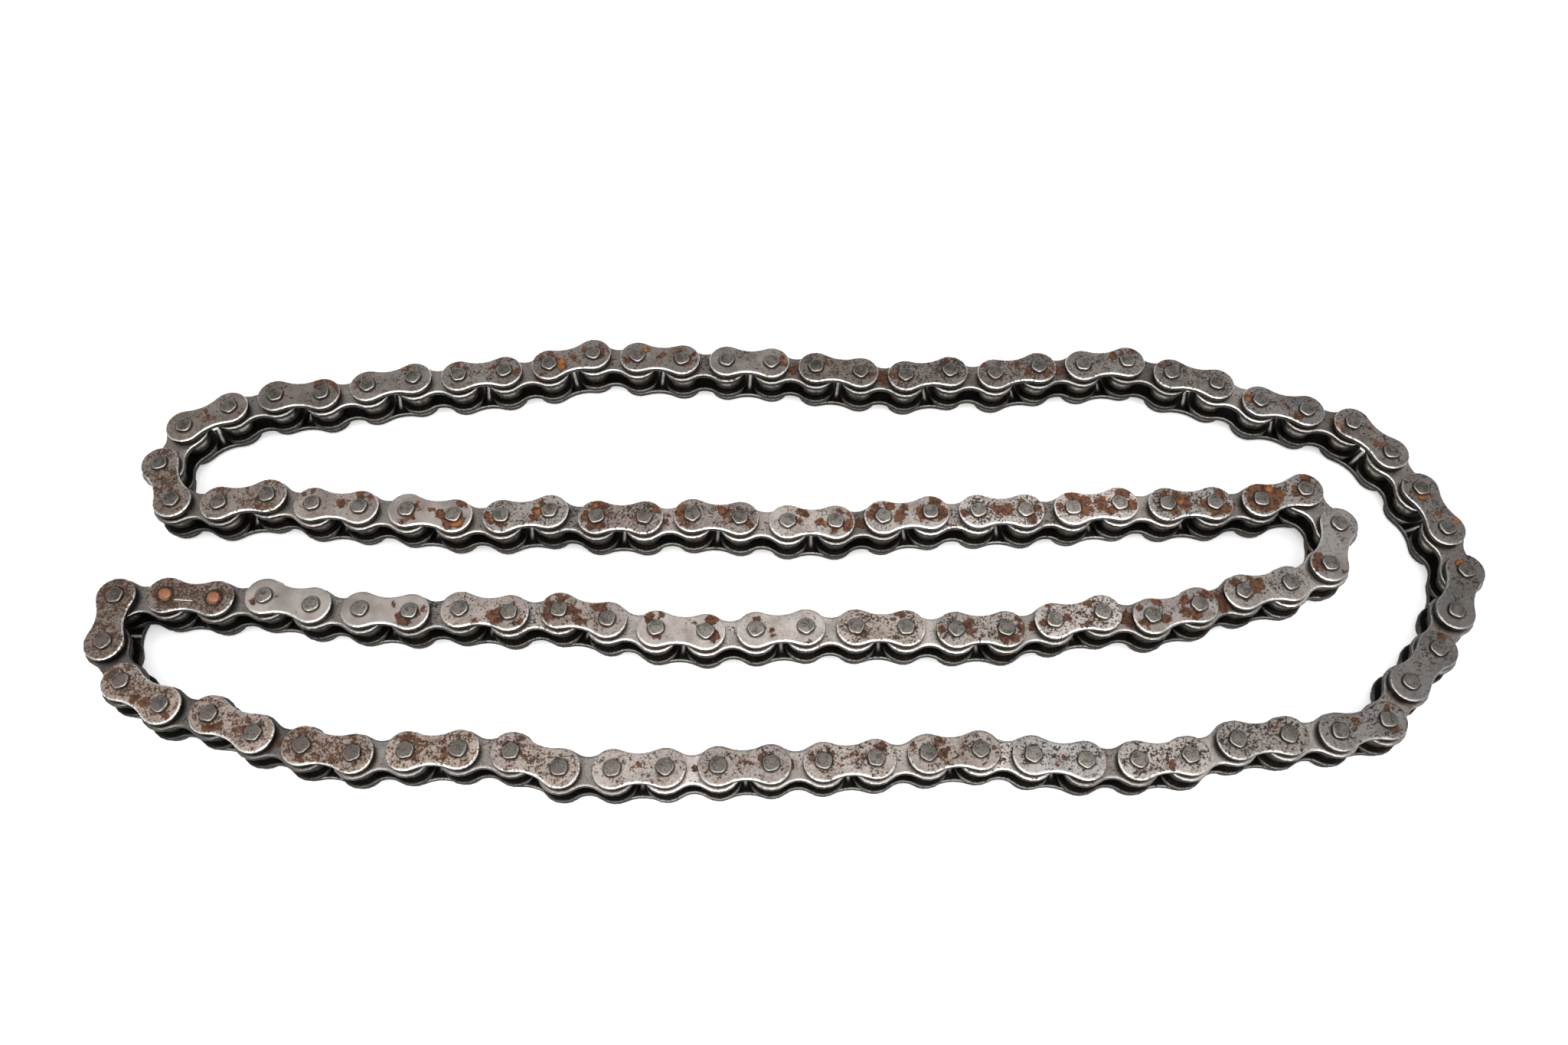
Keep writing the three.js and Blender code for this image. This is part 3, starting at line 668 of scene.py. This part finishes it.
def plate_finish(name, end_radius, waist, satin, rim=RUBBED_AND_GLINT_STEEL, waist_glint_strength=1.0, engraved=False):
    """Worn steel plate with pits, rust patches, a rubbed rim brightened by painted highlight, and sides
    darkened by grease and painted shade.
    """
    material, sheet = new_finish(name)
    along, across, from_pin = link_axes(sheet)
    light, pitting, stain = sheet.attribute("steel").parts()
    stray, orange, _ = sheet.attribute("rust").parts()
    depth, far = inside(sheet, PATCHES)
    ember_depth, _ = inside(sheet, EMBERS)
    edge = edge_distance(sheet, along, across, from_pin, end_radius, waist)
    open_flats, facing, upper = outward(sheet)

    # Rust patches have ragged shores and break off in crisp islands.
    ragged = sheet.clouds(RAGGED_SIZE, detail=5.0, roughness=0.66)
    depth = sheet.math("MAXIMUM", depth, ember_depth)
    field = sheet.math("MAXIMUM", (depth + SHORE_REACH) / SHORE_WIDTH, stray - 0.95)
    field = sheet.math("MINIMUM", field, 1.0)
    gathered = ragged + field * 0.18 - 0.5
    patch = gathered.rise(0.0, 0.012)
    film = gathered.rise(-0.11, 0.02)
    ember = (ragged * 0.2 + ember_depth / EMBER_SPAN).rise(0.0, 0.2)

    # Pits are fine dark specks in clusters. There are fewer of them near the rim and towards the
    # near side, and more beside rust.
    speck = sheet.clouds(SPECK_SIZE, detail=3.0, roughness=0.7)
    cluster = sheet.clouds(CLUSTER_SIZE, detail=3.0)
    inland = edge.rise(*PITTED_INLAND)
    beside_rust = (depth + PITTED_SHORE).rise(0.0, PITTED_SHORE)
    level = speck + cluster * 0.45 + far * 4.0 + inland * 0.05 + pitting * 0.16 + beside_rust * 0.03
    pits = (level - 0.955).rise(0.0, 0.02)
    grain = sheet.clouds(GRAIN_SIZE, detail=1.0)
    handled = sheet.clouds(HANDLED_SIZE, detail=2.0)

    # The rim is rubbed bright, with small nicks.
    nicks = sheet.clouds(NICK_SIZE, detail=2.0)
    rubbed = 1 - (edge + nicks * NICK_DEPTH - NICK_DEPTH / 2).rise(*RUBBED_RIM)

    # Bare steel is mottled by handling, tinted by its stain and rubbed at the rim, where its colour is
    # raised into a painted highlight. Pits show in it, and a film of rust round the patches.
    patch = patch * (1 - rubbed * 0.75)
    pits = pits * (1 - rubbed * 0.6) * (1 - patch)
    tarnish = handled * 0.6 + grain * 0.4 + (0.5 - speck) * (pitting * 0.8 + 0.3)
    steel = tarnish.rise(0.35, 0.65).mix(STEEL_DULL, STEEL)
    steel = (stain * -1.0).mix(steel, COLD_STEEL)
    steel = (stain * (0.15 + cluster * 0.6)).mix(steel, STAIN)
    steel = (rubbed * (1 - pits)).mix(steel, rim)
    # The link's light factor: partly the steel's own tone, partly painted light.
    steel = steel.times(light)
    steel = (film * 0.28).mix(steel, RUST_ORANGE)
    steel = (pits * 0.92).mix(steel, stain.mix(PIT, PIT_BROWN))
    line = 0.0
    if engraved:
        beside = abs(across + LINE_OFFSET).rise(*LINE_BESIDE)
        beyond = abs(along + LINE_OFFSET).rise(*LINE_BEYOND)
        line = (1 - beside) * (1 - beyond)
        steel = line.mix(steel, rim)

    # Rust is dark brown with a lighter crust, and glows orange in the embers.
    crust = sheet.clouds(CRUST_SIZE, detail=3.0)
    brown = crust.rise(0.35, 0.58).mix(RUST_DARK, RUST_BROWN)
    brown = (crust.rise(0.46, 0.64) * orange).mix(brown, RUST_ORANGE)
    haze = (ember_depth + HAZE_REACH + (ragged - 0.5) * HAZE_SHIFT).rise(0.0, HAZE_WIDTH)
    steel = (haze * 0.4).mix(steel, RUST_EMBER)
    rust = (ember * (0.45 + crust.rise(0.3, 0.55) * 0.55)).mix(brown, RUST_EMBER)
    colour = patch.mix(steel, rust.times(light * 0.28 + 0.76))
    # A dark ring on the plate round each rivet: partly grime in the joint, partly painted shade.
    seam_and_shade = 1 - from_pin.rise(*PLATE_SEAM_AND_SHADE)
    colour = (seam_and_shade * 0.75).mix(colour, GRIME_AND_SHADE)

    # Old grease and painted shade blacken the sides and the inner flats. The rubbed plate edges show
    # through it as a painted highlight, most on the upper plates, so that the lower plates' edges keep
    # a painted shade, and a thin painted highlight bar crosses the waist of an outer plate's inner
    # flat.
    # Painted highlight on the plate bevels, kept weaker on the lower plates as painted shade.
    edge_glint = rubbed * facing.rise(0.25, 0.6) * (1 - facing.rise(0.9, 1.0)) * upper
    # A painted highlight: a thin bright bar across the waist of an outer plate's inner flat, on the
    # link's far half.
    waist_glint = facing.rise(0.9, 1.0) * (1 - abs(along).rise(*WAIST_GLINT_ALONG)) * (1 - open_flats)
    waist_glint = waist_glint * far.rise(*WAIST_GLINT_FAR) * waist_glint_strength
    colour = waist_glint.mix(colour, WAIST_GLINT_COLOUR)
    grease = (1 - open_flats) * (1 - edge_glint * 0.75) * (1 - waist_glint * 0.9) * (0.86 + nicks * 0.2)
    colour = grease.mix(colour, GRIME_AND_SHADE)

    worn = satin + grain * 0.12 - rubbed * 0.12 + film * 0.10 + pits * 0.25
    roughness = worn + patch * (0.82 - worn) + grease * 0.06
    bare = (1 - patch * 0.92) * (1 - pits * 0.5) * (1 - film * 0.12)
    metallic = bare + grease * (1 - bare)
    height = patch * (0.4 + crust * 0.6) * 0.5 - pits * 0.6 + grain * 0.06 + handled * 0.2 - line
    close_finish(sheet, colour, roughness, metallic, height, PLATE_RELIEF, sheen=0.2, edge_sheen=0.6)
    return material


def pin_finish(name, flat_colour, low_colour, edge_colour):
    """Rough dark rivet head: its dented, sloped edge carries a painted highlight on steel and a painted
    shade on copper, with painted shade round its foot.
    """
    material, sheet = new_finish(name)
    _, _, from_pin = link_axes(sheet)
    light, _, stain = sheet.attribute("steel").parts()
    _, facing, _ = outward(sheet)
    scuff = sheet.clouds(SCUFF_SIZE, detail=3.0)
    blotch = sheet.clouds(BLOTCH_SIZE, detail=2.0)
    # The sloped edge takes the edge colour: a painted highlight on steel heads, a painted shade on
    # copper ones.
    slope = facing.rise(0.15, 0.5) * (1 - facing.rise(0.90, 0.99))
    flat = (scuff * 0.5 + blotch * 0.5).rise(0.36, 0.62).mix(low_colour, flat_colour)
    colour = (slope * 0.8).mix(flat, edge_colour)
    # The link's light factor: partly the steel's own tone, partly painted light.
    colour = colour.times((light * 0.70 + 0.35) * (1 - stain * 0.25))
    brown = (blotch + stain * 0.12 - 0.62).rise(0.0, 0.1)
    colour = (brown * 0.45).mix(colour, RUST_BROWN)
    # Painted shade: the steep wall at the foot of the head is darkened.
    foot = from_pin.rise(*RIVET_FOOT_SHADE) * (1 - facing.rise(0.0, 0.3))
    colour = (foot * 0.8).mix(colour, GRIME_AND_SHADE)
    roughness = 0.46 - slope * 0.2 + brown * 0.3
    metallic = 0.95 - brown * 0.5
    height = scuff * 0.5 + blotch * 0.5
    close_finish(sheet, colour, roughness, metallic, height, RIVET_RELIEF)
    return material


outer_plate_steel = plate_finish("worn outer plate steel", OUTER_END_RADIUS, OUTER_WAIST, OUTER_SATIN)
engraved_plate_steel = plate_finish("engraved joining plate steel", OUTER_END_RADIUS, OUTER_WAIST,
                                    OUTER_SATIN, engraved=True)
rivet_steel = pin_finish("staked rivet steel", RIVET_FLAT, RIVET_LOW, RIVET_EDGE_HIGHLIGHT)
copper_rivet = pin_finish("coppery soft rivet", COPPER_FLAT, COPPER_LOW, COPPER_EDGE_SHADE)

outer_pattern = store(plate(OUTER_END_RADIUS, OUTER_WAIST))
pin_patterns = [store(riveted_pin(STAKED_RINGS, dents)) for dents in STAKED_DENTS]
soft_pin_pattern = store(riveted_pin(SOFT_RINGS, SOFT_DENTS))
lower_outer = HEAD_HEIGHT
upper_outer = chain_top - HEAD_HEIGHT - PLATE_THICKNESS
chance = random.Random(STAKING_SEED)

for number, wear in OUTER_WEAR.items():
    shape = bmesh.new()
    for level in (lower_outer, upper_outer):
        add_copy(shape, outer_pattern, Matrix.Translation((0, 0, level)), 0)
    joining = number == JOINING_LINK
    for end in (-HALF_PITCH, HALF_PITCH):
        turn = Matrix.Rotation(chance.uniform(0, math.pi), 4, "Z")
        pattern = soft_pin_pattern if joining else chance.choice(pin_patterns)
        add_copy(shape, pattern, Matrix.Translation((end, 0, 0)) @ turn, 1)
    lay_link(shape, pins[2 * number - 2], pins[2 * number - 1], wear)
    finishes = [engraved_plate_steel, copper_rivet] if joining else [outer_plate_steel, rivet_steel]
    finished_piece(f"outer_link_{number:02d}", shape, finishes, [pairs[number - 1]])

# INNER LINKS
# Two wider plates pressed onto the bushes that the rollers turn on. Only a saddle of each upper
# plate shows between two outer links, and its rim below them. Rust has crept into some joints.

INNER_END_RADIUS = 0.0072
INNER_WAIST = 0.0046
SEAL_GAP = 0.0009
INNER_SATIN = 0.30
# Rubbed rim colour of the inner plates, brightened further as a painted highlight.
RUBBED_AND_GLINT_INNER_STEEL = (0.60, 0.57, 0.53, 1)
# How much stray rust, fine pitting and stain all inner links have, and how orange their rust is;
# how much fine pitting a pitted saddle has; and how light the steel of most links is, partly its own
# tone and partly painted shade from the outer links over the saddles.
INNER_WEAR = (0.10, 0.30, 0.15, 0.15)
PITTED = 0.85
MIDDLING = 0.70
# By link number: how light the steel of the other links is, partly its own tone and partly painted
# light and shade; in millimetres, how far to the right of the saddle's middle its rust patch lies,
# and the patch's radius; and the pitted saddles.
INNER_LIGHT = {
    1.40: {24, 38, 39, 43, 48, 50, 51}, 1.20: {12, 21, 36, 37, 46}, 1.00: {2, 3, 5, 14, 35, 44, 47},
    0.88: {4, 9, 18, 19, 22, 23, 40, 53, 54, 55, 57}, 0.55: {11, 20, 25, 26, 27, 31, 32, 34, 56},
    0.30: {28, 29, 30},
}
SADDLE_RUST = {
    5: (-1.2, 0.2), 7: (0.4, 1.6), 8: (0, 2.4), 9: (-2, 0.7), 10: (0, 1.8), 13: (2, 0.4), 19: (-2.5, 1),
    23: (-2, 0.9), 24: (1.8, 0.7), 28: (0, 0.3), 40: (1.6, 1), 41: (0, 2.4), 42: (0, 3.2),
    45: (-1.5, 1), 49: (0, 1.6), 51: (-1.4, 0.8),
}
PITTED_SADDLES = {6, 21, 34, 35, 47, 48, 52}

inner_plate_steel = plate_finish("satin inner plate steel", INNER_END_RADIUS, INNER_WAIST, INNER_SATIN,
                                 rim=RUBBED_AND_GLINT_INNER_STEEL, waist_glint_strength=0.0)
inner_pattern = store(plate(INNER_END_RADIUS, INNER_WAIST))
lower_inner = lower_outer + PLATE_THICKNESS + SEAL_GAP
upper_inner = upper_outer - PLATE_THICKNESS - SEAL_GAP

for number, name in enumerate(pairs, start=1):
    shape = bmesh.new()
    for level in (lower_inner, upper_inner):
        add_copy(shape, inner_pattern, Matrix.Translation((0, 0, level)), 0)
    stray, pitting, stain, orange = INNER_WEAR
    light = next((light for light, numbers in INNER_LIGHT.items() if number in numbers), MIDDLING)
    if number in PITTED_SADDLES:
        pitting = PITTED
    patches = []
    if number in SADDLE_RUST:
        right, radius = SADDLE_RUST[number]
        patches = [(right, 0, radius)]
    wear = light, stray, pitting, stain, orange, patches, []
    lay_link(shape, pins[2 * number - 1], pins[(2 * number) % len(pins)], wear)
    finished_piece(f"inner_link_{number:02d}", shape, [inner_plate_steel], [name])

# ROLLERS
# A hardened roller turns on each bush between the inner plates. They are polished by the
# sprockets and blackened with old chain grease.

ROLLER_RADIUS = 0.00508
ROLLER_CLEARANCE = 0.0001
ROLLER_CHAMFER = 0.0004
ROLLER_STEPS = 18
ROLLER_BARE = (0.30, 0.275, 0.245, 1)
ROLLER_GREASE = (0.075, 0.066, 0.056, 1)
GREASE_SIZE = 0.003
SMEAR_SIZE = 0.0008
ROLLER_RELIEF = 0.00005

roller_bottom = lower_inner + PLATE_THICKNESS + ROLLER_CLEARANCE
roller_top = upper_inner - ROLLER_CLEARANCE
roller_pattern = store(turned_shape([
    (roller_bottom, 0), (roller_bottom, ROLLER_RADIUS - ROLLER_CHAMFER),
    (roller_bottom + ROLLER_CHAMFER, ROLLER_RADIUS), (roller_top - ROLLER_CHAMFER, ROLLER_RADIUS),
    (roller_top, ROLLER_RADIUS - ROLLER_CHAMFER), (roller_top, 0),
], ROLLER_STEPS))

roller_finish, sheet = new_finish("greasy roller steel")
grease = sheet.clouds(GREASE_SIZE, detail=3.0)
smear = sheet.clouds(SMEAR_SIZE, detail=2.0)
greased = (grease * 0.7 + smear * 0.3).rise(0.40, 0.62)
roller_colour = greased.mix(ROLLER_BARE, ROLLER_GREASE)
roller_roughness = 0.26 + smear * 0.2 + greased * 0.1
close_finish(sheet, roller_colour, roller_roughness, 1.0, smear, ROLLER_RELIEF)

rollers = bmesh.new()
for pin in pins:
    add_copy(rollers, roller_pattern, Matrix.Translation(pin), 0)
finished_piece("rollers", rollers, [roller_finish], pairs)

# SEAL RINGS
# A rubber ring round each pin, squeezed between the outer and the inner plate, keeps the grease
# in the bush. It is black and dusty, and only its rim shows, in the slit between the plates.

RING_OUTER_RADIUS = 0.0054
RING_INNER_RADIUS = 0.0030
RING_SHOULDER = 0.0003
RING_CLEARANCE = 0.00002
RING_STEPS = 12
RUBBER = (0.012, 0.012, 0.012, 1)
RUBBER_DUST = (0.05, 0.042, 0.035, 1)
DUST_SIZE = 0.0015
RING_RELIEF = 0.00004

ring_half = SEAL_GAP / 2 - RING_CLEARANCE
ring_flat = RING_OUTER_RADIUS - RING_SHOULDER
ring_pattern = store(turned_shape([
    (-ring_half, RING_INNER_RADIUS), (-ring_half, ring_flat), (0, RING_OUTER_RADIUS),
    (ring_half, ring_flat), (ring_half, RING_INNER_RADIUS), (-ring_half, RING_INNER_RADIUS),
], RING_STEPS))

ring_finish, sheet = new_finish("dusty seal rubber")
dust = sheet.clouds(DUST_SIZE, detail=3.0)
ring_colour = dust.rise(0.4, 0.7).mix(RUBBER, RUBBER_DUST)
close_finish(sheet, ring_colour, 0.5 + dust * 0.3, 0.0, dust, RING_RELIEF)

rings = bmesh.new()
for pin in pins:
    for level in (lower_inner - SEAL_GAP / 2, upper_outer - SEAL_GAP / 2):
        add_copy(rings, ring_pattern, Matrix.Translation(pin + Vector((0, 0, level))), 0)
finished_piece("seal_rings", rings, [ring_finish], pairs)
